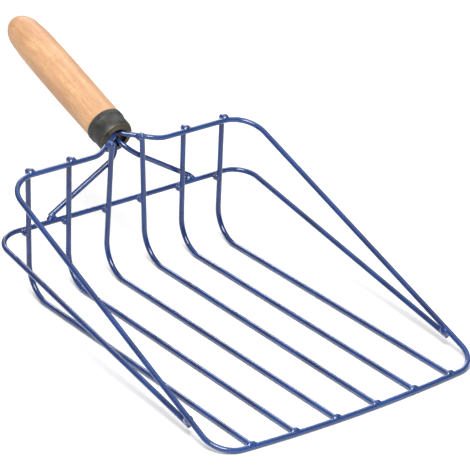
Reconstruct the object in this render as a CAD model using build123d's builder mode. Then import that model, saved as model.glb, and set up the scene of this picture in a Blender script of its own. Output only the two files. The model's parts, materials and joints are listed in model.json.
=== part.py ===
"""Beach sand scoop: a welded wire sieve basket on a short wooden grip.

Frame: +Z up, X across the basket, -Y towards the open mouth, +Y towards the
grip.  The basket stands on its six ribs at z = 0 and the origin is under the
middle of the whole scoop.  All dimensions are millimetres.
"""
import os
from math import cos, radians, sin, sqrt

from build123d import *

os.makedirs("parts", exist_ok=True)

# ---- coated wire ----------------------------------------------------------
WIRE = 4.2                  # outside diameter of the dipped steel wire
WIRE_R = WIRE / 2
LAP_GAP = 0.1               # coating gap between two wires that cross or lap
LAP = WIRE + LAP_GAP        # distance between the centres of lapped wires
BEAD_CLEAR = 0.03           # a weld bead stands this far off the wires it joins

# ---- basket ---------------------------------------------------------------
BACK_Y = 70.0               # foot of the back wall, at the sharp rib corner
BASKET_DEPTH = 293.5        # back wall foot to the middle of the mouth wire
MOUTH_Y = BACK_Y - BASKET_DEPTH
MOUTH_RADIUS = 920.0        # the mouth wire bows forward on this radius
FLOOR_Z = WIRE_R            # centre height of the wires that lie on the floor

RIM_Z = 103.0               # centre height of the rim along the back wall
RIM_BACK_HALF = 109.7       # half width of the rim at the back
RIM_FRONT_HALF = 115.0      # half width of the rim at the mouth
RIM_BACK_R = 23.5           # corner bends of the rim
RIM_FRONT_R = 21.5
BOW_END_X = 88.0            # the bowed mouth run ends here, the corners begin

# ---- ribs: x of the three pairs at the top, at the floor bend, at the mouth -
RIB_PITCH = 35.0
RIB_FRONT_X = (0.5 * RIB_PITCH, 1.5 * RIB_PITCH, 2.5 * RIB_PITCH)
RIB_FLOOR_X = (18.3, 52.3, 87.1)
RIB_TOP_X = (13.8, 52.0, 88.2)
RIB_BEND_R = 23.7
RIB_LEAN = 5.3              # the back wall leans this far forward at rim height
TIP_SLACK = 0.2             # the inner ribs lean, so their tips stand off more
RIB_TIP = 2.9               # outer rib ends stand this far above the rim centre

# ---- middle wire ----------------------------------------------------------
MID_Z = 54.2                # centre height across the back wall
MID_HALF = 114.4
MID_CORNER_R = 19.0
MID_SET_BACK = 4.0          # its corners spring back from the outer ribs
MID_BREAK_X = 88.5          # where the set-back begins
MID_REACH = 252.0           # back wall foot to the cut end under the rim side

# ---- grip: everything on one sloping axis ---------------------------------
GRIP_ANGLE = 18.8           # degrees above the floor
GRIP_BACK = 40.0            # a point on the axis: this far behind the back wall
GRIP_RISE = 11.4            # and this far above the rim; positions count from it
GRIP_ORIGIN = (0.0, BACK_Y + GRIP_BACK, RIM_Z + GRIP_RISE)
FERRULE_FRONT = -34.0       # positions along the axis
FERRULE_FACE = -33.0
FERRULE_STEP = -30.6
FERRULE_NECK = -21.6        # the wider band round the back end starts here
FERRULE_BAND = -20.2        # and is straight from here
FERRULE_BACK = -15.7
FERRULE_R = 14.7
FERRULE_BAND_R = FERRULE_R + 0.7
FERRULE_NOSE_R = FERRULE_R - 1.0
FERRULE_FACE_BOW = 1.1      # the face bulges on a radius this many times its width
FERRULE_MOUTH_R = 9.0
FERRULE_WALL = 1.2
FERRULE_FIT = 0.05          # radial clearance of the wood inside the ferrule
WOOD_NOSE = -28.5           # front end of the wood inside the ferrule
WOOD_CHAMFER = 1.0
WOOD_R = 14.85              # grip just behind the ferrule
WOOD_BELLY_R = 15.25
WOOD_BELLY_AT = 44.0
WOOD_TAPER_R = 14.75
WOOD_TAPER_AT = 86.0
WOOD_END_R = 13.5
DOME_START = 103.0
DOME_LENGTH = 17.7
DOME_PIP_ANGLE = 4.0        # the dome ends in a small flat left by the lathe
TANG_END = 10.0             # the four wires stop here inside the wood
TANG_CLEAR = 0.05           # radial clearance of a wire in its bore
TANG_X = WIRE_R + 0.3       # the pair of wires keeps a thin wall of wood between
RIM_TANG_H = 4.2            # rim ends run this far above the grip axis
BRACE_TANG_H = -3.3         # braces run this far below it
RIM_TANG_AT = -32.8         # corner of the rim's bend into the grip
BRACE_TANG_AT = -44.4       # corner of the braces' bend into the grip
RIM_TURN_X = 28.0           # corner where the rim leaves the back wall
RIM_TURN_R = 20.0
RIM_TANG_R = 7.0
BRACE_R = 16.0
BRACE_X = 64.5              # where the braces stand on the middle wire
BRACE_FOOT_ANGLE = 45.0     # they lie this far up round the back of it

# ---- weld beads: half length and half height, then the shift of the middle -
TOP_BEAD = (4.2, 3.3)
TOP_BEAD_SHIFT = Vector(0.8, -0.45 * LAP, 1.0 - RIB_TIP)    # from a rib's tip
INNER_BEAD_SHIFT = Vector(0, 0.5 * LAP, 0.3 - WIRE_R)       # on the turning rim
FRONT_BEAD = (4.3, 2.9)
FRONT_BEAD_SHIFT = Vector(0.8, 1.3, 1.0)                    # from the mouth wire
MID_BEAD = (3.0, 3.0)
MID_BEAD_SHIFT = Vector(-1.6, 0.5 * LAP, -1.7)              # from the crossing
BRACE_BEAD = (4.4, 3.1)
BRACE_BEAD_SHIFT = Vector(-1.0, 0, 0)
SIDE_BEAD = (4.2, 3.3)
SIDE_BEAD_BACK = 2.5        # they sit this far behind the middle wire's ends
SIDE_BEAD_SHIFT = Vector(-0.6, 0, 0)        # and bulge more towards the basket
BARREL_CORNER = 1.8         # corner radius of the barrel-shaped beads
CLEAR_RUN = 12.0            # wires are cut out of a bead this far either way
SIDE_CLEAR_RUN = 15.0

grip_axis = Plane(
    origin=GRIP_ORIGIN,
    x_dir=(0, cos(radians(GRIP_ANGLE)), sin(radians(GRIP_ANGLE))),
    z_dir=(1, 0, 0),
)


def on_grip(along, above, side=0.0):
    """Point at a place along the grip axis, above it and to one side."""
    return grip_axis.from_local_coords((along, above, side))


def mouth_y(x):
    """Centre of the bowed mouth wire at a given x."""
    return MOUTH_Y + MOUTH_RADIUS - sqrt(MOUTH_RADIUS**2 - x**2)


def wall_y(z):
    """Centre plane of the ribs up the back wall, which leans forward."""
    return BACK_Y - RIB_LEAN * (z - FLOOR_Z) / (RIM_Z - FLOOR_Z)


RIM_BACK_Y = wall_y(RIM_Z) - LAP

# ---- rim: one wire, both ends in the grip ---------------------------------
bow_slope = BOW_END_X / sqrt(MOUTH_RADIUS**2 - BOW_END_X**2)
front_corner_y = mouth_y(BOW_END_X) + (RIM_FRONT_HALF - BOW_END_X) * bow_slope
rim_turn = Vector(RIM_TURN_X, RIM_BACK_Y, RIM_Z)
rim_tang = on_grip(RIM_TANG_AT, RIM_TANG_H, TANG_X)
rim_back_corner = Vector(RIM_BACK_HALF, RIM_BACK_Y, RIM_Z)
rim_front_corner = Vector(RIM_FRONT_HALF, front_corner_y, FLOOR_Z)
bow_end = Vector(BOW_END_X, mouth_y(BOW_END_X), FLOOR_Z)
rim_half = [
    on_grip(TANG_END, RIM_TANG_H, TANG_X),
    rim_tang,
    rim_turn,
    rim_back_corner,
    rim_front_corner,
    bow_end,
]
rim_radii = [RIM_TANG_R, RIM_TURN_R, RIM_BACK_R, RIM_FRONT_R]


def mirrored(point):
    """The same point on the other side of the scoop."""
    return Vector(-point.X, point.Y, point.Z)


with BuildLine() as rim_path:
    FilletPolyline(*rim_half, radius=rim_radii)
    ThreePointArc(bow_end, (0, MOUTH_Y, FLOOR_Z), mirrored(bow_end))
    FilletPolyline(*[mirrored(p) for p in reversed(rim_half)], radius=rim_radii[::-1])


# ---- ribs -----------------------------------------------------------------
def rib_tip(pair):
    """Top end of a rib: the inner pair stands in front of the turning rim."""
    x = RIB_TOP_X[pair]
    if x > RIM_TURN_X:
        return Vector(x, wall_y(RIM_Z + RIB_TIP), RIM_Z + RIB_TIP)
    turn = rim_tang - rim_turn
    share = (x - rim_turn.X) / turn.X
    beside = rim_turn + turn * share
    lap_in_plan = (LAP + TIP_SLACK) * sqrt(turn.X**2 + turn.Y**2) / abs(turn.X)
    return Vector(x, beside.Y - lap_in_plan, beside.Z + WIRE_R)


def rib_end_y(x):
    """Front end of a rib, cut square just behind the mouth wire."""
    return mouth_y(x + WIRE_R) + WIRE_R + LAP_GAP


def rib_points(side, pair):
    """Top end, sharp floor corner and front end of one rib."""
    tip = rib_tip(pair)
    front_x = RIB_FRONT_X[pair]
    return [
        Vector(side * tip.X, tip.Y, tip.Z),
        Vector(side * RIB_FLOOR_X[pair], BACK_Y, FLOOR_Z),
        Vector(side * front_x, rib_end_y(front_x), FLOOR_Z),
    ]


# rib_1 is the -X one, rib_6 the +X one
RIB_ORDER = [(-1, 2), (-1, 1), (-1, 0), (1, 0), (1, 1), (1, 2)]
rib_corners = [rib_points(side, pair) for side, pair in RIB_ORDER]
rib_paths = []
for corners in rib_corners:
    with BuildLine() as rib_path:
        FilletPolyline(*corners, radius=RIB_BEND_R)
    rib_paths.append(rib_path.wire())


def rib_at(corners, z):
    """Centre of a rib's upright at height z."""
    tip, foot = corners[0], corners[1]
    return foot + (tip - foot) * ((z - foot.Z) / (tip.Z - foot.Z))


# ---- middle wire: a U outside the ribs, its ends under the rim sides ------
MID_BACK_Y = max(rib_at(corners, MID_Z).Y for corners in rib_corners) + LAP
side_run = rim_front_corner - rim_back_corner
side_slope = sqrt(side_run.X**2 + side_run.Y**2) / side_run.length
mid_end_y = BACK_Y - MID_REACH


def rim_side(y):
    """Centre of the straight side run of the rim at a given y."""
    return rim_back_corner + side_run * ((y - rim_back_corner.Y) / side_run.Y)


mid_end = rim_side(mid_end_y) - Vector(0, 0, LAP / side_slope)
mid_half = [
    Vector(MID_BREAK_X, MID_BACK_Y, MID_Z),
    Vector(MID_HALF, MID_BACK_Y + MID_SET_BACK, MID_Z),
    mid_end,
]
with BuildLine() as mid_path:
    FilletPolyline(
        mirrored(mid_half[2]),
        mirrored(mid_half[1]),
        mirrored(mid_half[0]),
        mid_half[0],
        mid_half[1],
        mid_half[2],
        radius=[MID_CORNER_R, RIB_BEND_R, RIB_BEND_R, MID_CORNER_R],
    )

# ---- braces from the top of the middle wire into the grip -----------------
brace_foot = Vector(
    BRACE_X,
    MID_BACK_Y + LAP * cos(radians(BRACE_FOOT_ANGLE)),
    MID_Z + LAP * sin(radians(BRACE_FOOT_ANGLE)),
)
brace_half = [
    brace_foot,
    on_grip(BRACE_TANG_AT, BRACE_TANG_H, TANG_X),
    on_grip(TANG_END, BRACE_TANG_H, TANG_X),
]
with BuildLine() as brace_right_path:
    FilletPolyline(*brace_half, radius=BRACE_R)
with BuildLine() as brace_left_path:
    FilletPolyline(*[mirrored(p) for p in brace_half], radius=BRACE_R)


# ---- wire bodies ----------------------------------------------------------
def swept(path, radius):
    """A round bar of the given radius along a path."""
    with BuildPart() as bar:
        with BuildSketch(Plane(origin=path @ 0, z_dir=path % 0)):
            Circle(radius)
        sweep(path=path)
    return bar


rim_wire = swept(rim_path.wire(), WIRE_R)
mid_wire = swept(mid_path.wire(), WIRE_R)
ribs = [swept(path, WIRE_R) for path in rib_paths]
brace_left = swept(brace_left_path.wire(), WIRE_R)
brace_right = swept(brace_right_path.wire(), WIRE_R)


# ---- weld beads -----------------------------------------------------------
def weld_bead(centre, along, half_size, runs, corner=None):
    """One bead between wires: an ellipsoid relieved by each straight run.

    half_size is its half length along the given direction and its half
    height; runs lists the two ends of every wire it has to clear.  A bead
    with a corner radius is a rounded barrel instead of an ellipsoid.
    """
    half_length, half_height = half_size
    normal = Vector(*along).cross(Vector(0, 0, 1))
    plane = Plane(origin=centre, x_dir=along, z_dir=normal)
    with BuildPart() as bead:
        with BuildSketch(plane):
            if corner is None:
                Ellipse(half_length, half_height)
            else:
                RectangleRounded(2 * half_length, 2 * half_height, corner)
            Rectangle(
                3 * half_length,
                3 * half_height,
                align=(Align.CENTER, Align.MAX),
                mode=Mode.SUBTRACT,
            )
        revolve(axis=Axis(plane.origin, plane.x_dir))
        for start, end in runs:
            with BuildSketch(Plane(origin=start, z_dir=end - start)):
                Circle(WIRE_R + BEAD_CLEAR)
            extrude(amount=(end - start).length, mode=Mode.SUBTRACT)
    return bead.part.solids().sort_by(SortBy.VOLUME)[-1]


def stretched(start, end, extra=BEAD_CLEAR):
    """A run whose far end is carried a little further on."""
    return start, end + (end - start).normalized() * extra


ACROSS = Vector(1, 0, 0)
DIAGONAL = Vector(1, 1, 0)  # keeps a round bead's poles away from both wires
NEAR = ACROSS * CLEAR_RUN

top_beads = []
for (side, pair), corners in zip(RIB_ORDER, rib_corners):
    tip = corners[0]
    upright = stretched(rib_at(corners, RIM_Z - CLEAR_RUN), tip)
    if RIB_TOP_X[pair] > RIM_TURN_X:
        rim_here = Vector(tip.X, RIM_BACK_Y, RIM_Z)
        runs = [(rim_here - NEAR, rim_here + NEAR), upright]
        bead = weld_bead(tip + TOP_BEAD_SHIFT, DIAGONAL, TOP_BEAD, runs)
    else:
        rim_run = (rim_turn, rim_tang)
        if side < 0:
            rim_run = (mirrored(rim_turn), mirrored(rim_tang))
        runs = [rim_run, upright]
        centre = tip + INNER_BEAD_SHIFT
        bead = weld_bead(centre, ACROSS, TOP_BEAD, runs, BARREL_CORNER)
    top_beads.append(bead)
with BuildPart() as rib_top_welds:
    add(top_beads)

front_beads = []
for tip, foot, front in rib_corners:
    x = front.X
    slope = Vector(1, x / sqrt(MOUTH_RADIUS**2 - x**2), 0) * CLEAR_RUN
    mouth_here = Vector(x, mouth_y(x), FLOOR_Z)
    centre = mouth_here + FRONT_BEAD_SHIFT
    runs = [
        (mouth_here - slope, mouth_here + slope),
        stretched(front + (foot - front).normalized() * CLEAR_RUN, front),
    ]
    front_beads.append(weld_bead(centre, ACROSS, FRONT_BEAD, runs))
with BuildPart() as rib_front_welds:
    add(front_beads)

crossing_beads = []
for corners in rib_corners:
    crossing = rib_at(corners, MID_Z)
    mid_here = Vector(crossing.X, MID_BACK_Y, MID_Z)
    centre = crossing + MID_BEAD_SHIFT
    runs = [
        (mid_here - NEAR * 0.5, mid_here + NEAR * 0.5),
        (rib_at(corners, MID_Z - CLEAR_RUN), rib_at(corners, MID_Z + CLEAR_RUN)),
    ]
    crossing_beads.append(weld_bead(centre, DIAGONAL, MID_BEAD, runs))
with BuildPart() as rib_mid_welds:
    add(crossing_beads)


def both_sides(centre, along, half_size, runs, corner=None):
    """The same bead on the +X and the -X side of the scoop."""
    left_runs = [(mirrored(start), mirrored(end)) for start, end in runs]
    return [
        weld_bead(centre, along, half_size, runs, corner),
        weld_bead(mirrored(centre), mirrored(along), half_size, left_runs, corner),
    ]


mid_under_brace = Vector(BRACE_X, MID_BACK_Y, MID_Z)
brace_beads = both_sides(
    (brace_foot + mid_under_brace) * 0.5 + BRACE_BEAD_SHIFT,
    ACROSS,
    BRACE_BEAD,
    [
        (brace_foot, brace_half[1]),
        (mid_under_brace - NEAR, mid_under_brace + NEAR),
    ],
    corner=BARREL_CORNER,
)
with BuildPart() as brace_welds:
    add(brace_beads)

side_middle = (mid_end + rim_side(mid_end_y)) * 0.5
side_tail = (mid_half[1] - mid_end).normalized() * SIDE_CLEAR_RUN
side_beads = both_sides(
    side_middle - side_run.normalized() * SIDE_BEAD_BACK + SIDE_BEAD_SHIFT,
    side_run,
    SIDE_BEAD,
    [
        (rim_side(mid_end_y + SIDE_CLEAR_RUN), rim_side(mid_end_y - CLEAR_RUN)),
        stretched(mid_end + side_tail, mid_end),
    ],
    corner=BARREL_CORNER,
)
with BuildPart() as mid_end_welds:
    add(side_beads)

# ---- ferrule: a drawn steel cap with a rolled-in mouth --------------------
skirt_in = FERRULE_R - FERRULE_WALL
band_in = FERRULE_BAND_R - FERRULE_WALL
nose_in = FERRULE_NOSE_R - FERRULE_WALL
with BuildPart() as ferrule:
    with BuildSketch(grip_axis):
        with BuildLine():
            outer = Polyline(
                (FERRULE_BACK, band_in),
                (FERRULE_BACK, FERRULE_BAND_R),
                (FERRULE_BAND, FERRULE_BAND_R),
                (FERRULE_NECK, FERRULE_R),
                (FERRULE_STEP, FERRULE_R),
                (FERRULE_FACE, FERRULE_NOSE_R),
            )
            face = RadiusArc(
                outer @ 1,
                (FERRULE_FRONT, FERRULE_MOUTH_R),
                (FERRULE_NOSE_R - FERRULE_MOUTH_R) * FERRULE_FACE_BOW,
            )
            Polyline(
                face @ 1,
                (FERRULE_FRONT + FERRULE_WALL, FERRULE_MOUTH_R),
                (FERRULE_FACE + FERRULE_WALL, nose_in),
                (FERRULE_STEP + 0.4 * FERRULE_WALL, skirt_in),
                (FERRULE_NECK, skirt_in),
                (FERRULE_BAND, band_in),
                (FERRULE_BACK, band_in),
            )
        make_face()
    revolve(axis=Axis(grip_axis.origin, grip_axis.x_dir))

# ---- grip: turned wood with a domed end and four bores --------------------
spigot_r = skirt_in - FERRULE_FIT
collar_r = band_in - FERRULE_FIT
with BuildPart() as handle:
    with BuildSketch(grip_axis):
        with BuildLine():
            front = Polyline(
                (WOOD_NOSE, 0),
                (WOOD_NOSE, spigot_r - WOOD_CHAMFER),
                (WOOD_NOSE + WOOD_CHAMFER, spigot_r),
                (FERRULE_NECK, spigot_r),
                (FERRULE_BAND, collar_r),
                (FERRULE_BACK + LAP_GAP, collar_r),
                (FERRULE_BACK + LAP_GAP, WOOD_R),
            )
            belly = Spline(
                front @ 1,
                (WOOD_BELLY_AT, WOOD_BELLY_R),
                (WOOD_TAPER_AT, WOOD_TAPER_R),
                (DOME_START, WOOD_END_R),
            )
            dome = EllipticalCenterArc(
                (DOME_START, 0),
                DOME_LENGTH,
                WOOD_END_R,
                start_angle=DOME_PIP_ANGLE,
                arc_size=90 - DOME_PIP_ANGLE,
            )
            pip = dome @ 0
            Polyline(pip, (pip.X, 0), (WOOD_NOSE, 0))
        make_face()
    revolve(axis=Axis(grip_axis.origin, grip_axis.x_dir))
    nose_plane = Plane(
        origin=on_grip(WOOD_NOSE, 0),
        x_dir=(1, 0, 0),
        z_dir=grip_axis.x_dir,
    )
    with BuildSketch(nose_plane):
        for above in (-RIM_TANG_H, -BRACE_TANG_H):
            with Locations((TANG_X, above), (-TANG_X, above)):
                Circle(WIRE_R + TANG_CLEAR)
    extrude(amount=TANG_END - WOOD_NOSE + LAP_GAP, mode=Mode.SUBTRACT)

# ---- name and export ------------------------------------------------------
named = {
    "rim_wire": rim_wire,
    "mid_wire": mid_wire,
    "brace_left": brace_left,
    "brace_right": brace_right,
    "ferrule": ferrule,
    "handle": handle,
    "rib_top_welds": rib_top_welds,
    "rib_mid_welds": rib_mid_welds,
    "rib_front_welds": rib_front_welds,
    "brace_welds": brace_welds,
    "mid_end_welds": mid_end_welds,
}
for number, rib in enumerate(ribs, start=1):
    named[f"rib_{number}"] = rib

for name, piece in named.items():
    piece.part.label = name
    export_step(piece.part, f"parts/{name}.step")
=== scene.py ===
"""Looks of the beach sand scoop: dipped wire, welded joints, aged ferrule, beech grip.

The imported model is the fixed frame.  The wires keep the frame's own meshes and
get a coated finish; the weld beads, the ferrule and the grip are replaced by
finer meshes that stand in their places, the front beads 1.4 mm nearer to -X.
Lengths are metres, +Z is up and the open mouth of the basket faces -Y.
"""

import json
import logging
import math
from dataclasses import dataclass, field
from enum import Enum
from typing import Any, Iterable, Sequence, Union

import bmesh
import bpy
from mathutils import Matrix, Vector, noise


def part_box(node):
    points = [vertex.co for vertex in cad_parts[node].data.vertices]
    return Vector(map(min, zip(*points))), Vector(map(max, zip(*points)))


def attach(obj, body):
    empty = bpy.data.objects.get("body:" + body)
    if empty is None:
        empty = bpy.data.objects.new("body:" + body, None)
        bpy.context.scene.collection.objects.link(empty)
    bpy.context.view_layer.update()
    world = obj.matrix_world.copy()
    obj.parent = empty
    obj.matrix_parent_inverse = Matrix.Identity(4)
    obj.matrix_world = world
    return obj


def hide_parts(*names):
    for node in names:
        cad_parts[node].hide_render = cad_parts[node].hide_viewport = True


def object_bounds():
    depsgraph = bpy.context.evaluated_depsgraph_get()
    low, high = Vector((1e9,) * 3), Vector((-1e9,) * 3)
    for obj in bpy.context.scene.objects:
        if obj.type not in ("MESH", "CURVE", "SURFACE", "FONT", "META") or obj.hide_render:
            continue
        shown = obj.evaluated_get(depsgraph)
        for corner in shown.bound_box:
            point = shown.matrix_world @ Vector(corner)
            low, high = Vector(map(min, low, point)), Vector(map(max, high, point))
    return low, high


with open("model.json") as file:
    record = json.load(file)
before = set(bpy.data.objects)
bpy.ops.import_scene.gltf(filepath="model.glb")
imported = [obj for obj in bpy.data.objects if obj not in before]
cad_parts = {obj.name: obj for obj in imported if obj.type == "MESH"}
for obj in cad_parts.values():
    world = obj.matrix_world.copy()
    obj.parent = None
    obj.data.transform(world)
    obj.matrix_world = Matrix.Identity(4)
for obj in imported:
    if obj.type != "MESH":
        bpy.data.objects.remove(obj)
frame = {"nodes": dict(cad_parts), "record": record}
cad_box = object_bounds()

log = logging.getLogger("scoop")

MM = 0.001
BODY = "root"
BAND_MIDDLE = 17.95 * MM  # from the grip axis's origin forward to the ferrule's band

Colour = tuple[float, float, float]
Number = Union[float, "Term"]


class Wire(Enum):
    """The wires that keep the frame's meshes."""

    RIM = "rim_wire"
    MIDDLE = "mid_wire"
    RIB_1 = "rib_1"
    RIB_2 = "rib_2"
    RIB_3 = "rib_3"
    RIB_4 = "rib_4"
    RIB_5 = "rib_5"
    RIB_6 = "rib_6"
    BRACE_LEFT = "brace_left"
    BRACE_RIGHT = "brace_right"


RIBS = [wire for wire in Wire if wire.value.startswith("rib_")]


# ---------------------------------------------------------------- shader maths
class Term:
    """A shader value that can be added, multiplied and eased like a number."""

    def __init__(self, graph: "Graph", socket: bpy.types.NodeSocket) -> None:
        """Wraps one output socket of a graph."""
        self.graph = graph
        self.socket = socket

    def _math(self, operation: str, *values: Number) -> "Term":
        """One Math node on the given values."""
        return self.graph.math(operation, *values)

    def __add__(self, other: Number) -> "Term":
        """self + other."""
        return self._math("ADD", self, other)

    __radd__ = __add__

    def __sub__(self, other: Number) -> "Term":
        """self - other."""
        return self._math("SUBTRACT", self, other)

    def __rsub__(self, other: Number) -> "Term":
        """other - self."""
        return self._math("SUBTRACT", other, self)

    def __mul__(self, other: Number) -> "Term":
        """self * other."""
        return self._math("MULTIPLY", self, other)

    __rmul__ = __mul__

    def power(self, exponent: float) -> "Term":
        """The value raised to a power."""
        return self._math("POWER", self, exponent)

    def root(self) -> "Term":
        """The square root of the value."""
        return self._math("SQRT", self)

    def wave(self) -> "Term":
        """The sine of the value."""
        return self._math("SINE", self)

    def eased(self, low: float, high: float) -> "Term":
        """0 below low, 1 above high, and a smooth rise between.

        Args:
            low: Value at which the rise starts; above high for a fall.
            high: Value at which the rise ends.

        Returns:
            The eased value, from 0 to 1.
        """
        start, end = (low, high) if low < high else (high, low)
        node = self.graph.add(
            "ShaderNodeMapRange",
            {"interpolation_type": "SMOOTHSTEP"},
            {"Value": self, "From Min": start, "From Max": end},
        )
        rise = Term(self.graph, node.outputs[0])
        return rise if low < high else 1.0 - rise


class Graph:
    """The node tree of one material around a single Principled surface."""

    def __init__(self, name: str) -> None:
        """Starts an empty material with that name."""
        self.material = bpy.data.materials.new(name)
        self.material.use_nodes = True
        self.tree = self.material.node_tree
        self.tree.nodes.clear()
        self.surface = self.tree.nodes.new("ShaderNodeBsdfPrincipled")
        output = self.tree.nodes.new("ShaderNodeOutputMaterial")
        self.tree.links.new(self.surface.outputs[0], output.inputs["Surface"])

    def add(
        self,
        kind: str,
        settings: dict[str, Any] | None = None,
        inputs: dict[Any, Any] | None = None,
    ) -> bpy.types.Node:
        """Adds one node.

        Args:
            kind: Blender's type name of the node.
            settings: Properties set before the sockets.
            inputs: Values or links by socket name or index.

        Returns:
            The new node.
        """
        node = self.tree.nodes.new(kind)
        for key, value in (settings or {}).items():
            setattr(node, key, value)
        for key, value in (inputs or {}).items():
            self.feed(node.inputs[key], value)
        return node

    def feed(self, socket: bpy.types.NodeSocket, value: Any) -> None:
        """Links a term or socket to an input, or sets the input's own value."""
        if isinstance(value, Term):
            value = value.socket
        if isinstance(value, bpy.types.NodeSocket):
            self.tree.links.new(value, socket)
        elif isinstance(value, tuple) and len(value) == 3 and socket.type == "RGBA":
            socket.default_value = (*value, 1.0)
        else:
            socket.default_value = value

    def math(self, operation: str, *values: Number) -> Term:
        """A Math node with that operation on one to three values."""
        inputs = dict(enumerate(values))
        node = self.add("ShaderNodeMath", {"operation": operation}, inputs)
        return Term(self, node.outputs[0])

    def mix(self, share: Number, first: Any, second: Any) -> bpy.types.NodeSocket:
        """A colour between first (share 0) and second (share 1)."""
        node = self.add("ShaderNodeMix", {"data_type": "RGBA"})
        self.feed(node.inputs[0], share)
        self.feed(node.inputs[6], first)
        self.feed(node.inputs[7], second)
        return node.outputs[2]

    def place(
        self,
        stretch: Colour = (1.0, 1.0, 1.0),
        turn: float = 0.0,
        shift: Colour = (0.0, 0.0, 0.0),
    ) -> bpy.types.NodeSocket:
        """Object coordinates, turned about X, shifted and then stretched."""
        coordinates = self.add("ShaderNodeTexCoord").outputs["Object"]
        turned = self.add(
            "ShaderNodeMapping",
            inputs={
                "Vector": coordinates,
                "Rotation": (turn, 0.0, 0.0),
                "Location": shift,
            },
        ).outputs[0]
        if stretch == (1.0, 1.0, 1.0):
            return turned
        return self.add(
            "ShaderNodeMapping", inputs={"Vector": turned, "Scale": stretch}
        ).outputs[0]

    def noise(
        self,
        vector: bpy.types.NodeSocket,
        scale: float,
        detail: float = 3.0,
        roughness: float = 0.55,
        distortion: float = 0.0,
    ) -> Term:
        """Smooth noise from about 0.2 to 0.8, scale cycles to the metre."""
        node = self.add(
            "ShaderNodeTexNoise",
            inputs={
                "Vector": vector,
                "Scale": scale,
                "Detail": detail,
                "Roughness": roughness,
                "Distortion": distortion,
            },
        )
        return Term(self, node.outputs[0])

    def cells(self, vector: bpy.types.NodeSocket, scale: float, spread: float = 1.0) -> Term:
        """Distance to the nearest of scattered points, scale points to the metre."""
        node = self.add(
            "ShaderNodeTexVoronoi",
            inputs={"Vector": vector, "Scale": scale, "Randomness": spread},
        )
        return Term(self, node.outputs["Distance"])

    def axes(self, vector: bpy.types.NodeSocket) -> tuple[Term, Term, Term]:
        """The three parts of a vector."""
        node = self.add("ShaderNodeSeparateXYZ", inputs={"Vector": vector})
        return tuple(Term(self, output) for output in node.outputs)

    def bump(self, height: Number, depth: float, strength: float = 1.0) -> None:
        """Gives the surface relief of that depth in metres."""
        node = self.add(
            "ShaderNodeBump",
            inputs={"Height": height, "Distance": depth, "Strength": strength},
        )
        self.feed(self.surface.inputs["Normal"], node.outputs[0])

    def finish(self, **sockets: Any) -> bpy.types.Material:
        """Feeds the Principled sockets, named with underscores for spaces."""
        for key, value in sockets.items():
            self.feed(self.surface.inputs[key.replace("_", " ")], value)
        return self.material


# ------------------------------------------------------------------- finishes
@dataclass(frozen=True)
class DippedCoat:
    """Glossy blue plastic coat that the wires were dipped in."""

    name: str = "dipped_blue_coat"
    thick: Colour = (0.0025, 0.015, 0.088)
    thin: Colour = (0.0058, 0.036, 0.165)
    # painted highlight colour for the mouth wire and the rim
    painted_highlight: Colour = (0.020, 0.070, 0.240)
    dust: Colour = (0.06, 0.09, 0.20)
    metal: Colour = (0.20, 0.20, 0.22)
    mouth_at: float = -195.0 * MM
    rim_at: float = 96.0 * MM
    mouth_blend: float = 8.0 * MM
    rim_blend: float = 4.0 * MM
    gloss: float = 0.17
    sag_depth: float = 0.10 * MM
    pool_scale: float = 34.0
    zone_scale: float = 60.0
    sag_scale: float = 170.0
    rub_scale: float = 420.0
    speck_scale: float = 520.0
    spatter_scale: float = 560.0
    peel_scale: float = 760.0
    is_weld: bool = False

    def build(self) -> bpy.types.Material:
        """Makes the material.

        The coat gets a painted highlight at the mouth and along the rim, standing in for
        the floor's reflection on the mouth and the light from above on the rim, and a weld's
        coat is lumpier and worn through in spots.

        Returns:
            The finished material.
        """
        graph = Graph(self.name)
        place = graph.place()
        pool = graph.noise(place, self.pool_scale, 3.0)
        sag = graph.noise(place, self.sag_scale, 2.0)
        peel = graph.noise(place, self.peel_scale, 3.0, 0.6)
        specks = graph.cells(place, self.speck_scale).eased(0.16, 0.06)
        speck_zone = graph.noise(place, self.zone_scale, 2.0).eased(0.56, 0.66)
        rubs = graph.noise(graph.place((1.0, 0.25, 1.0)), self.rub_scale, 4.0, 0.7)
        rub_mask = rubs.eased(0.63, 0.74) * pool.eased(0.50, 0.62)
        coat = graph.mix(pool.eased(0.32, 0.68), self.thick, self.thin)
        _, along, height = graph.axes(place)
        mouth = along.eased(
            self.mouth_at + self.mouth_blend, self.mouth_at - self.mouth_blend
        )
        rim = height.eased(self.rim_at - self.rim_blend, self.rim_at + self.rim_blend)
        # painted highlight: lightens the mouth wire and the rim for the floor's reflection
        # and the light from above
        coat = graph.mix(mouth * 0.40 + rim * 0.25, coat, self.painted_highlight)
        coat = graph.mix(peel.eased(0.35, 0.75) * 0.16, coat, self.dust)
        coat = graph.mix(rub_mask * 0.30, coat, self.dust)
        coat = graph.mix(specks * speck_zone * 0.35, coat, self.dust)
        rough = self.gloss + peel * 0.10 + rub_mask * 0.22
        relief = sag + peel * 0.2
        metallic: Number = 0.0
        if self.is_weld:
            bead = Term(
                graph,
                graph.add("ShaderNodeAttribute", {"attribute_name": "bead"}).outputs["Fac"],
            )
            spatter = graph.noise(place, self.spatter_scale, 4.0, 0.65)
            bare = spatter.eased(0.50, 0.62) * bead.eased(0.40, 0.80)
            coat = graph.mix(bare * 0.60, coat, self.metal)
            coat = graph.mix(bead.eased(0.2, 0.9) * 0.25, coat, self.thin)
            rough = rough + bare * 0.18
            relief = relief + spatter * bead * 1.1
            metallic = bare * 0.35
        graph.bump(relief, self.sag_depth)
        return graph.finish(
            Base_Color=coat,
            Roughness=rough,
            Metallic=metallic,
            Coat_Weight=0.65 - rub_mask * 0.45,
            Coat_Roughness=0.06,
            Coat_IOR=1.5,
            IOR=1.38,
        )


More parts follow.
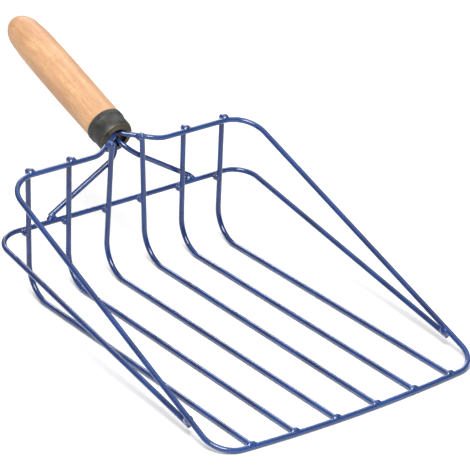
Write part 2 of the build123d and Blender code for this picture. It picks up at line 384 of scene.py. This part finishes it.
@dataclass(frozen=True)
class AgedSteel:
    """Dark drawn steel of the ferrule with an olive, rubbed lip."""

    tilt: float
    centre: Vector
    lip_at: float
    back_at: float
    name: str = "aged_ferrule_steel"
    dark: Colour = (0.036, 0.037, 0.036)
    light: Colour = (0.078, 0.079, 0.073)
    olive: Colour = (0.105, 0.090, 0.050)
    # rust tint, also used as painted shade along the back edge where the ferrule meets the
    # wood
    rust_and_shade: Colour = (0.105, 0.048, 0.020)
    relief: float = 0.10 * MM
    cloud_scale: float = 120.0
    drawn_scale: float = 330.0
    pit_scale: float = 620.0
    grit_scale: float = 900.0

    def build(self) -> bpy.types.Material:
        """Makes the material in the ferrule's own axes, its axis along Y."""
        graph = Graph(self.name)
        shift = grip_shift(self.centre, self.tilt)
        place = graph.place(turn=-self.tilt, shift=shift)
        rings = graph.place((0.6, 9.0, 0.6), -self.tilt, shift)
        across, along, up = graph.axes(place)
        radius = (across * across + up * up).root()
        cloud = graph.noise(place, self.cloud_scale, 4.0, 0.6, 0.4)
        drawn = graph.noise(rings, self.drawn_scale, 4.0, 0.7)
        grit = graph.noise(place, self.grit_scale, 3.0, 0.6)
        pits = graph.cells(place, self.pit_scale).eased(0.22, 0.05) * cloud.eased(0.45, 0.6)
        lip = along.eased(self.lip_at + 2.2 * MM, self.lip_at + 0.2 * MM)
        lip_rub = (lip * (cloud + 0.35)).eased(0.35, 0.85)
        back = along.eased(self.back_at - 1.3 * MM, self.back_at - 0.1 * MM)
        inside = radius.eased(12.6 * MM, 9.2 * MM) * lip
        steel = graph.mix(cloud.eased(0.35, 0.7), self.dark, self.light)
        steel = graph.mix(drawn.eased(0.45, 0.75) * 0.4, steel, self.light)
        steel = graph.mix(lip_rub * 0.75, steel, self.olive)
        # painted shade: the brown band along the back edge stands in for the shadow line
        # under the wood's shoulder; the pits and the inside of the mouth take real rust
        steel = graph.mix(back * cloud.eased(0.4, 0.6) * 0.8, steel, self.rust_and_shade)
        steel = graph.mix(pits * 0.7, steel, self.rust_and_shade)
        steel = graph.mix(inside * grit.eased(0.4, 0.6) * 0.6, steel, self.rust_and_shade)
        rough = 0.50 + cloud * 0.22 - lip_rub * 0.12 + pits * 0.2
        graph.bump(drawn * 0.5 + grit * 0.25 + cloud * 0.6 - pits * 0.5, self.relief)
        return graph.finish(
            Base_Color=steel, Roughness=rough, Metallic=0.55 - pits * 0.3, IOR=1.5
        )


@dataclass(frozen=True)
class TurnedBeech:
    """Pale beech with short dark rays, sanded smooth under a thin clear coat."""

    tilt: float
    centre: Vector
    collar_at: float
    name: str = "turned_beech"
    pale: Colour = (0.650, 0.395, 0.212)
    warm: Colour = (0.440, 0.213, 0.103)
    ray: Colour = (0.250, 0.105, 0.040)
    # painted shade colour for the collar where the wood meets the ferrule
    painted_collar_shade: Colour = (0.180, 0.110, 0.060)
    relief: float = 0.07 * MM
    ring_scale: float = 820.0
    ring_wander: float = 0.030
    wander_scale: float = 52.0
    cloud_scale: float = 64.0
    zone_scale: float = 150.0
    mottle_scale: float = 420.0
    ray_scale: float = 620.0
    streak_scale: float = 700.0
    pore_scale: float = 1700.0

    def build(self) -> bpy.types.Material:
        """Makes the material in the grip's own axes, its grain along Y."""
        graph = Graph(self.name)
        shift = grip_shift(self.centre, self.tilt)
        place = graph.place(turn=-self.tilt, shift=shift)
        fibre = graph.place((1.0, 0.05, 1.0), -self.tilt, shift)
        dash = graph.place((1.0, 0.22, 1.0), -self.tilt, shift)
        across, along, up = graph.axes(place)
        wander = graph.noise(dash, self.wander_scale, 3.0)
        layers = across + up * 0.35 + wander * self.ring_wander
        rings = (layers * self.ring_scale).wave()
        growth = (rings * 0.5 + 0.5).power(2.2)
        cloud = graph.noise(dash, self.cloud_scale, 4.0, 0.6)
        mottle = graph.noise(dash, self.mottle_scale, 3.0, 0.65)
        streak = graph.noise(fibre, self.streak_scale, 4.0, 0.65)
        rays = graph.cells(dash, self.ray_scale).eased(0.34, 0.12)
        ray_share = graph.noise(place, self.zone_scale, 3.0).eased(0.46, 0.60)
        pores = graph.noise(dash, self.pore_scale, 2.0, 0.7).eased(0.56, 0.70)
        collar = along.eased(self.collar_at + 1.4 * MM, self.collar_at)
        wood = graph.mix(cloud.eased(0.34, 0.66) * 0.70, self.pale, self.warm)
        wood = graph.mix(mottle.eased(0.38, 0.70) * 0.38, wood, self.warm)
        wood = graph.mix(growth * 0.30, wood, self.warm)
        wood = graph.mix(streak.eased(0.40, 0.74) * 0.36, wood, self.warm)
        wood = graph.mix(rays * ray_share * 0.34, wood, self.ray)
        wood = graph.mix(pores * 0.26, wood, self.ray)
        # painted shade: darkens the wood at the collar, in the crease against the ferrule's
        # back edge
        wood = graph.mix(collar * 0.35, wood, self.painted_collar_shade)
        rough = 0.46 + streak * 0.14 + rays * 0.10 + collar * 0.15
        height = streak * 0.5 - rays * ray_share * 0.9 - pores * 0.7 + growth * 0.25
        graph.bump(height, self.relief)
        return graph.finish(
            Base_Color=wood,
            Roughness=rough,
            Coat_Weight=0.12 - rays * 0.08,
            Coat_Roughness=0.32,
            IOR=1.48,
        )


@dataclass(frozen=True)
class StudioPaper:
    """The pale matt sheet that the scoop stands on."""

    name: str = "studio_paper"
    white: Colour = (0.84, 0.84, 0.84)
    shade: Colour = (0.82, 0.82, 0.825)

    def build(self) -> bpy.types.Material:
        """Makes a matt white with a barely seen paper grain."""
        graph = Graph(self.name)
        place = graph.place()
        grain = graph.noise(place, 90.0, 3.0)
        sheet = graph.mix(grain.eased(0.3, 0.7), self.shade, self.white)
        graph.bump(graph.noise(place, 700.0, 2.0), 0.02 * MM)
        return graph.finish(Base_Color=sheet, Roughness=0.9 + grain * 0.05)


def grip_shift(centre: Vector, tilt: float) -> Colour:
    """Shift that puts a point of the sloping grip at the origin once turned."""
    moved = Matrix.Rotation(-tilt, 3, "X") @ centre
    return (-moved.x, -moved.y, -moved.z)


# --------------------------------------------------------------- mesh helpers
def as_object(
    name: str, mesh: bmesh.types.BMesh, material: bpy.types.Material
) -> bpy.types.Object:
    """Turns a bmesh into a smooth-shaded object that sits at the origin.

    Args:
        name: Name of the object and of its mesh.
        mesh: The finished bmesh, which is freed.
        material: Its only material.

    Returns:
        The new object, linked into the scene.
    """
    for face in mesh.faces:
        face.smooth = True
    data = bpy.data.meshes.new(name)
    mesh.to_mesh(data)
    mesh.free()
    data.materials.append(material)
    piece = bpy.data.objects.new(name, data)
    bpy.context.scene.collection.objects.link(piece)
    return piece


def lathe(profile: Sequence[tuple[float, float]], steps: int) -> bmesh.types.BMesh:
    """Spins a profile of (along, radius) points around the Y axis.

    Args:
        profile: Points from one end of the axis to the other.
        steps: How many sides the turned shape has.

    Returns:
        A closed mesh with its faces outwards.
    """
    mesh = bmesh.new()
    verts = [mesh.verts.new((0.0, along, radius)) for along, radius in profile]
    edges = [mesh.edges.new(pair) for pair in zip(verts, verts[1:])]
    bmesh.ops.spin(
        mesh,
        geom=verts + edges,
        cent=(0.0, 0.0, 0.0),
        axis=(0.0, 1.0, 0.0),
        angle=math.tau,
        steps=steps,
        use_merge=True,
        use_normal_flip=False,
        use_duplicate=False,
    )
    bmesh.ops.remove_doubles(mesh, verts=mesh.verts[:], dist=0.002 * MM)
    bmesh.ops.recalc_face_normals(mesh, faces=mesh.faces[:])
    return mesh


def arc(
    centre: tuple[float, float], radius: float, start: float, end: float, steps: int
) -> list[tuple[float, float]]:
    """Points of a round stretch of a profile, angles in degrees from the axis."""
    angles = [math.radians(start + (end - start) * i / steps) for i in range(steps + 1)]
    return [
        (centre[0] + radius * math.cos(a), centre[1] + radius * math.sin(a))
        for a in angles
    ]


# -------------------------------------------------------------- sub-assemblies
@dataclass
class GripAxis:
    """The sloping axis that the ferrule and the grip share.

    Places along it count from a point behind the ferrule, positive towards
    the domed end of the grip.
    """

    centre: Vector
    direction: Vector
    band_radius: float

    @classmethod
    def from_record(cls, record: dict[str, Any]) -> "GripAxis":
        """Reads the axis from the record's mount on the ferrule's skirt."""
        mount = next(m for m in record["mounts"] if m["name"] == "ferrule_clip")
        direction = Vector(mount["axis"]).normalized()
        return cls(
            Vector(mount["pos_m"]) + direction * BAND_MIDDLE,
            direction,
            mount["dims"]["r_mm"] * MM,
        )

    @property
    def tilt(self) -> float:
        """Slope of the axis above the floor, in radians."""
        return math.atan2(self.direction.z, self.direction.y)

    @property
    def matrix(self) -> Matrix:
        """Carries a shape made along Y onto the sloping axis."""
        return Matrix.Translation(self.centre) @ Matrix.Rotation(self.tilt, 4, "X")


@dataclass
class WireWork:
    """All the wires, which keep the frame's meshes under a dipped coat."""

    coat: DippedCoat = field(default_factory=DippedCoat)

    def dress(self) -> None:
        """Gives every wire the coat."""
        material = self.coat.build()
        for wire in Wire:
            piece = frame["nodes"][wire.value]
            piece.data.materials.clear()
            piece.data.materials.append(material)
            log.info("%s: %d faces, coated", wire.value, len(piece.data.polygons))


@dataclass
class WeldedJoints:
    """Weld beads with the coat drawn into a fillet between the wires.

    A joint is made from the wires' stubs within reach of the bead, swollen by
    the coat at the bead and sunk into the wires where they end.
    """

    reach: float = 6.5 * MM
    swell: float = 0.12 * MM
    sink: float = 0.22 * MM
    grain: float = 0.36 * MM
    lump: float = 0.30 * MM
    smoothing: int = 7
    lump_scale: float = 420.0
    stub_edge: float = 1.5 * MM
    cap_radius: float = 2.5 * MM
    cap_sink: float = 0.55
    tip_band: float = 0.6 * MM
    front_drift: float = -1.4 * MM
    coat: DippedCoat = field(
        default_factory=lambda: DippedCoat(name="coated_weld", is_weld=True)
    )
    groups: tuple[str, ...] = (
        "rib_top_welds",
        "rib_mid_welds",
        "rib_front_welds",
        "brace_welds",
        "mid_end_welds",
    )

    def build(self) -> list[bpy.types.Object]:
        """Makes one piece for each group of beads.

        Returns:
            The new pieces.
        """
        material = self.coat.build()
        return [self._group(name, material) for name in self.groups]

    def _group(self, name: str, material: bpy.types.Material) -> bpy.types.Object:
        """All joints of one group of beads, as one piece."""
        whole = bmesh.new()
        layer = whole.verts.layers.float.new("bead")
        for low, high in self._beads(name):
            self._append_joint(name, whole, layer, low, high)
        piece = as_object(name.replace("welds", "joints"), whole, material)
        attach(piece, BODY)
        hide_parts(name)
        log.info("%s: %d faces", piece.name, len(piece.data.polygons))
        return piece

    def _beads(self, name: str) -> list[tuple[Vector, Vector]]:
        """Low and high corner of every bead in a CAD node."""
        mesh = bmesh.new()
        mesh.from_mesh(frame["nodes"][name].data)
        bmesh.ops.remove_doubles(mesh, verts=mesh.verts[:], dist=0.01 * MM)
        left = set(mesh.verts)
        beads = []
        while left:
            island, queue = [], [left.pop()]
            while queue:
                vert = queue.pop()
                island.append(vert.co.copy())
                for edge in vert.link_edges:
                    other = edge.other_vert(vert)
                    if other in left:
                        left.remove(other)
                        queue.append(other)
            low = Vector(min(c[i] for c in island) for i in range(3))
            high = Vector(max(c[i] for c in island) for i in range(3))
            beads.append((low, high))
        mesh.free()
        return sorted(beads, key=lambda bead: bead[0].x)

    def _append_joint(
        self,
        name: str,
        whole: bmesh.types.BMesh,
        layer: bmesh.types.BMLayerItem,
        low: Vector,
        high: Vector,
    ) -> None:
        """Adds one joint: stubs of the wires fused with the bead and smoothed."""
        centre = (low + high) / 2
        if name == "rib_front_welds":
            centre.x += self.front_drift
        rough = bmesh.new()
        for wire in Wire:
            self._append_stub(rough, frame["nodes"][wire.value], centre)
        self._append_bead(rough, centre, (high - low) / 2)
        if name == "rib_top_welds":
            self._append_cap(rough, centre)
        skin = self._fused(rough)
        start = len(whole.verts)
        whole.from_mesh(skin)
        whole.verts.ensure_lookup_table()
        bead_radius = (high - low).length / 2
        floor = cad_box[0].z
        for vert in whole.verts[start:]:
            away = (vert.co - centre).length / bead_radius
            vert[layer] = max(0.0, min(1.0, 1.6 - 1.5 * away))
            vert.co.z = max(vert.co.z, floor)
        bpy.data.meshes.remove(skin)

    def _append_stub(
        self, rough: bmesh.types.BMesh, wire: bpy.types.Object, centre: Vector
    ) -> None:
        """Adds the short run of a wire near the bead, swollen by its coat."""
        reach = Vector((self.reach,) * 3)
        if not self._runs_past(wire, centre):
            return
        stub = bmesh.new()
        stub.from_mesh(wire.data)
        bmesh.ops.remove_doubles(stub, verts=stub.verts[:], dist=0.005 * MM)
        for axis in range(3):
            for side in (-1.0, 1.0):
                normal = Vector((0.0, 0.0, 0.0))
                normal[axis] = side
                bmesh.ops.bisect_plane(
                    stub,
                    geom=stub.verts[:] + stub.edges[:] + stub.faces[:],
                    dist=0.001 * MM,
                    plane_co=centre + reach * side,
                    plane_no=normal,
                    clear_outer=True,
                )
        if not stub.faces:
            stub.free()
            return
        bmesh.ops.subdivide_edges(
            stub,
            edges=[e for e in stub.edges if e.calc_length() > self.stub_edge],
            cuts=3,
            use_grid_fill=True,
        )
        bmesh.ops.holes_fill(stub, edges=stub.edges[:], sides=0)
        stub.normal_update()
        for vert in stub.verts:
            share = min((vert.co - centre).length / self.reach, 1.0)
            vert.co += vert.normal * (self.swell - (self.swell + self.sink) * share**2)
        data = bpy.data.meshes.new("stub")
        stub.to_mesh(data)
        stub.free()
        rough.from_mesh(data)
        bpy.data.meshes.remove(data)

    def _runs_past(self, wire: bpy.types.Object, centre: Vector) -> bool:
        """Whether a wire's box comes within reach of a bead."""
        low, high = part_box(wire.name)
        margin = self.reach
        return all(
            low[i] - margin < centre[i] < high[i] + margin for i in range(3)
        )

    def _append_bead(
        self, rough: bmesh.types.BMesh, centre: Vector, half: Vector
    ) -> None:
        """Adds the bead itself, an uneven lump the size of the CAD bead."""
        made = bmesh.ops.create_icosphere(rough, subdivisions=3, radius=1.0)
        for vert in made["verts"]:
            place = centre + Vector(vert.co[i] * half[i] for i in range(3))
            push = noise.noise(place * self.lump_scale) * self.lump
            vert.co = place + vert.co.normalized() * push

    def _append_cap(self, rough: bmesh.types.BMesh, centre: Vector) -> None:
        """Rounds the rib's cut top end over with a small dome of coat."""
        for wire in RIBS:
            tips = [
                v.co
                for v in frame["nodes"][wire.value].data.vertices
                if (v.co - centre).length < self.reach and v.co.z > centre.z
            ]
            if not tips:
                continue
            top = max(co.z for co in tips)
            rim = [co for co in tips if top - co.z < self.tip_band]
            middle = sum(rim, Vector()) / len(rim)
            drop = Vector((0.0, 0.0, self.cap_sink * self.cap_radius))
            bmesh.ops.create_icosphere(
                rough,
                subdivisions=3,
                radius=self.cap_radius,
                matrix=Matrix.Translation(middle - drop),
            )

    def _fused(self, rough: bmesh.types.BMesh) -> bpy.types.Mesh:
        """Fuses overlapping shells into one skin and smooths its corners."""
        data = bpy.data.meshes.new("joint")
        rough.to_mesh(data)
        rough.free()
        draft = bpy.data.objects.new("joint", data)
        bpy.context.scene.collection.objects.link(draft)
        remesh = draft.modifiers.new("fuse", "REMESH")
        remesh.mode = "VOXEL"
        remesh.voxel_size = self.grain
        smooth = draft.modifiers.new("fillet", "SMOOTH")
        smooth.factor = 0.5
        smooth.iterations = self.smoothing
        graph = bpy.context.evaluated_depsgraph_get()
        skin = bpy.data.meshes.new_from_object(draft.evaluated_get(graph))
        bpy.data.objects.remove(draft)
        bpy.data.meshes.remove(data)
        return skin


@dataclass
class Ferrule:
    """Drawn steel cap: a band at the back, a plain skirt and a turned-in face."""

    axis: GripAxis
    back: float = -15.7 * MM
    band_front: float = -20.2 * MM
    neck: float = -21.6 * MM
    shoulder: float = -30.6 * MM
    face: float = -33.0 * MM
    front: float = -34.0 * MM
    skirt_radius: float = 14.7 * MM
    nose_radius: float = 13.7 * MM
    mouth_radius: float = 9.0 * MM
    wall: float = 1.2 * MM
    edge: float = 0.3 * MM
    bead: float = 0.45 * MM
    shoulder_round: float = 1.6 * MM
    dish_depth: float = 0.35 * MM
    dish_steps: int = 10
    out_of_round: float = 0.12 * MM
    dent_scale: float = 95.0
    sides: int = 180

    def profile(self) -> list[tuple[float, float]]:
        """Outline from the back edge outside, round the mouth and back inside."""
        band = self.axis.band_radius
        edge, bead = self.edge, self.bead
        inner = self.skirt_radius - self.wall
        band_inner = band - self.wall
        points = [(self.back, band_inner)]
        points += arc((self.back - edge, band - edge), edge, 0, 90, 5)
        points += arc((self.band_front + edge, band - edge), edge, 90, 140, 4)
        points += [(self.neck + edge, self.skirt_radius + 0.05 * MM)]
        points += [(self.neck - 0.4 * MM, self.skirt_radius)]
        turn = self.shoulder_round
        points += arc(
            (self.shoulder + 0.6 * MM, self.skirt_radius - turn), turn, 90, 135, 8
        )
        roll = (self.face + bead, self.nose_radius - bead)
        points += arc(roll, bead * 1.15, 120, 205, 8)
        for i in range(1, self.dish_steps):
            share = i / self.dish_steps
            sag = self.dish_depth * math.sin(math.pi * share)
            along = self.face + (self.front + 0.2 * MM - self.face) * share + sag
            reach = self.nose_radius + (self.mouth_radius + bead - self.nose_radius) * share
            points.append((along, reach))
        points += arc((self.front + bead, self.mouth_radius + bead), bead, 190, 330, 10)
        points += [
            (self.front + self.wall, self.mouth_radius + 0.9 * MM),
            (self.face + self.wall, self.nose_radius - self.wall),
            (self.shoulder + 0.4 * self.wall, inner),
            (self.neck, inner),
            (self.band_front, band_inner),
            (self.back, band_inner),
        ]
        return points

    def build(self) -> bpy.types.Object:
        """Turns the ferrule and sets it on the grip's axis.

        Returns:
            The finished piece.
        """
        mesh = lathe(self.profile(), self.sides)
        self._press(mesh)
        bmesh.ops.transform(mesh, matrix=self.axis.matrix, verts=mesh.verts[:])
        finish = AgedSteel(
            tilt=self.axis.tilt,
            centre=self.axis.centre,
            lip_at=self.face,
            back_at=self.back,
        )
        piece = as_object("ferrule_shell", mesh, finish.build())
        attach(piece, BODY)
        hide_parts("ferrule")
        log.info("%s: %d faces", piece.name, len(piece.data.polygons))
        return piece

    def _press(self, mesh: bmesh.types.BMesh) -> None:
        """Presses the shell very slightly out of round, only ever inwards."""
        for vert in mesh.verts:
            share = 0.5 + 0.5 * noise.noise(vert.co * self.dent_scale)
            outward = Vector((vert.co.x, 0.0, vert.co.z)).normalized()
            vert.co -= outward * share * self.out_of_round


@dataclass
class Grip:
    """Turned beech grip with a slight belly and a domed end."""

    axis: GripAxis
    nose: float = -28.5 * MM
    spigot_radius: float = 13.4 * MM
    shoulder: float = -15.6 * MM
    shoulder_edge: float = 0.35 * MM
    stations: tuple[tuple[float, float], ...] = (
        (-15.6 * MM, 14.85 * MM),
        (44.0 * MM, 15.25 * MM),
        (86.0 * MM, 14.75 * MM),
        (103.0 * MM, 13.5 * MM),
    )
    dome_length: float = 17.7 * MM
    nose_chamfer: float = 1.0 * MM
    run_steps: int = 20
    dome_steps: int = 28
    sides: int = 192

    def _slope(self, index: int) -> float:
        """Slope of the outline at a station, level at the belly."""
        last = len(self.stations) - 1
        before = self.stations[max(index - 1, 0)]
        after = self.stations[min(index + 1, last)]
        return (after[1] - before[1]) / (after[0] - before[0])

    def _between(self, index: int, share: float) -> tuple[float, float]:
        """A point of the smooth outline between two stations."""
        (start, low), (end, high) = self.stations[index : index + 2]
        length = end - start
        s2, s3 = share * share, share**3
        radius = (
            low * (2 * s3 - 3 * s2 + 1)
            + self._slope(index) * length * (s3 - 2 * s2 + share)
            + high * (3 * s2 - 2 * s3)
            + self._slope(index + 1) * length * (s3 - s2)
        )
        return start + length * share, radius

    def profile(self) -> list[tuple[float, float]]:
        """Outline from the nose inside the ferrule to the middle of the dome."""
        spigot = self.spigot_radius
        first = self.stations[0][1]
        edge = self.shoulder_edge
        points = [
            (self.nose, 0.0),
            (self.nose, spigot * 0.5),
            (self.nose, spigot - self.nose_chamfer),
            (self.nose + self.nose_chamfer, spigot),
            (self.shoulder, spigot),
            (self.shoulder, first - 2 * edge),
        ]
        points += arc((self.shoulder + edge, first - edge), edge, 180, 95, 5)
        steps = self.run_steps
        for index in range(len(self.stations) - 1):
            points += [self._between(index, i / steps) for i in range(1, steps + 1)]
        dome_at, dome_radius = self.stations[-1]
        lean = self._slope(len(self.stations) - 1) * self.dome_length
        for i in range(1, self.dome_steps + 1):
            angle = math.pi / 2 * i / self.dome_steps
            share = math.sin(angle)
            radius = dome_radius * math.cos(angle) + lean * share * math.cos(angle) ** 2
            points.append((dome_at + self.dome_length * share, max(radius, 0.0)))
        return [p for i, p in enumerate(points) if i == 0 or p != points[i - 1]]

    def build(self) -> bpy.types.Object:
        """Turns the grip and sets it on its axis.

        Returns:
            The finished piece.
        """
        mesh = lathe(self.profile(), self.sides)
        bmesh.ops.transform(mesh, matrix=self.axis.matrix, verts=mesh.verts[:])
        finish = TurnedBeech(
            tilt=self.axis.tilt,
            centre=self.axis.centre,
            collar_at=self.shoulder,
        )
        piece = as_object("beech_grip", mesh, finish.build())
        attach(piece, BODY)
        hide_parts("handle")
        log.info("%s: %d faces", piece.name, len(piece.data.polygons))
        return piece


@dataclass(frozen=True)
class SoftBox:
    """A rectangular area light aimed at the scoop."""

    name: str
    towards: Colour
    distance: float
    size: tuple[float, float]
    power: float
    tint: Colour = (1.0, 1.0, 1.0)

    def build(self, target: Vector) -> None:
        """Hangs the light at its distance from the target."""
        data = bpy.data.lights.new(self.name, "AREA")
        data.shape = "RECTANGLE"
        data.size, data.size_y = self.size
        data.energy = self.power
        data.color = self.tint
        lamp = bpy.data.objects.new(self.name, data)
        direction = Vector(self.towards).normalized()
        lamp.location = target + direction * self.distance
        lamp.rotation_euler = direction.to_track_quat("Z", "Y").to_euler()
        bpy.context.scene.collection.objects.link(lamp)


@dataclass
class Studio:
    """Floor, soft light and the camera."""

    azimuth: float = -35.616
    elevation: float = 25.515
    distance: float = 2.1035
    lens: float = 216.6
    aim: Vector = field(default_factory=lambda: Vector((0.02902, -0.03538, 0.05834)))
    floor_size: float = 9.0
    sky: float = 0.25
    boxes: tuple[SoftBox, ...] = (
        SoftBox("overhead_box", (0.15, 0.25, 1.0), 2.2, (3.0, 3.0), 26.0),
        SoftBox("key_box", (-0.334, -0.466, 0.819), 1.9, (0.85, 0.85), 48.0),
        SoftBox("rear_box", (0.40, 0.73, 0.50), 2.4, (1.2, 0.6), 22.0),
    )

    def build(self) -> None:
        """Lays the floor, hangs the lights and stands the camera."""
        self._floor()
        for box in self.boxes:
            box.build(self.aim)
        self._sky()
        self._camera()
        bpy.context.scene.view_settings.view_transform = "Standard"
        log.info("studio: %d lights", len(self.boxes))

    def _floor(self) -> None:
        """A wide sheet of paper just under the wires."""
        mesh = bmesh.new()
        bmesh.ops.create_grid(mesh, x_segments=2, y_segments=2, size=self.floor_size / 2)
        floor = as_object("paper_floor", mesh, StudioPaper().build())

    def _sky(self) -> None:
        """Even white light from all round."""
        world = bpy.data.worlds.new("white_room")
        world.use_nodes = True
        background = world.node_tree.nodes["Background"]
        background.inputs["Color"].default_value = (1.0, 1.0, 1.0, 1.0)
        background.inputs["Strength"].default_value = self.sky
        bpy.context.scene.world = world

    def _camera(self) -> None:
        """A long lens from the front left, above the mouth."""
        turn = math.radians(self.azimuth)
        rise = math.radians(self.elevation)
        back = Vector(
            (
                math.sin(turn) * math.cos(rise),
                -math.cos(turn) * math.cos(rise),
                math.sin(rise),
            )
        )
        data = bpy.data.cameras.new("front_left")
        data.lens = self.lens
        data.sensor_width = 36.0
        data.clip_end = 50.0
        camera = bpy.data.objects.new("front_left", data)
        camera.location = self.aim + back * self.distance
        camera.rotation_euler = back.to_track_quat("Z", "Y").to_euler()
        bpy.context.scene.collection.objects.link(camera)
        bpy.context.scene.camera = camera


def main() -> None:
    """Builds and dresses the scoop, then its studio."""
    logging.basicConfig(level=logging.INFO, format="%(name)s: %(message)s")
    axis = GripAxis.from_record(frame["record"])
    WireWork().dress()
    WeldedJoints().build()
    Ferrule(axis).build()
    Grip(axis).build()
    Studio().build()


if __name__ == "__main__":
    main()
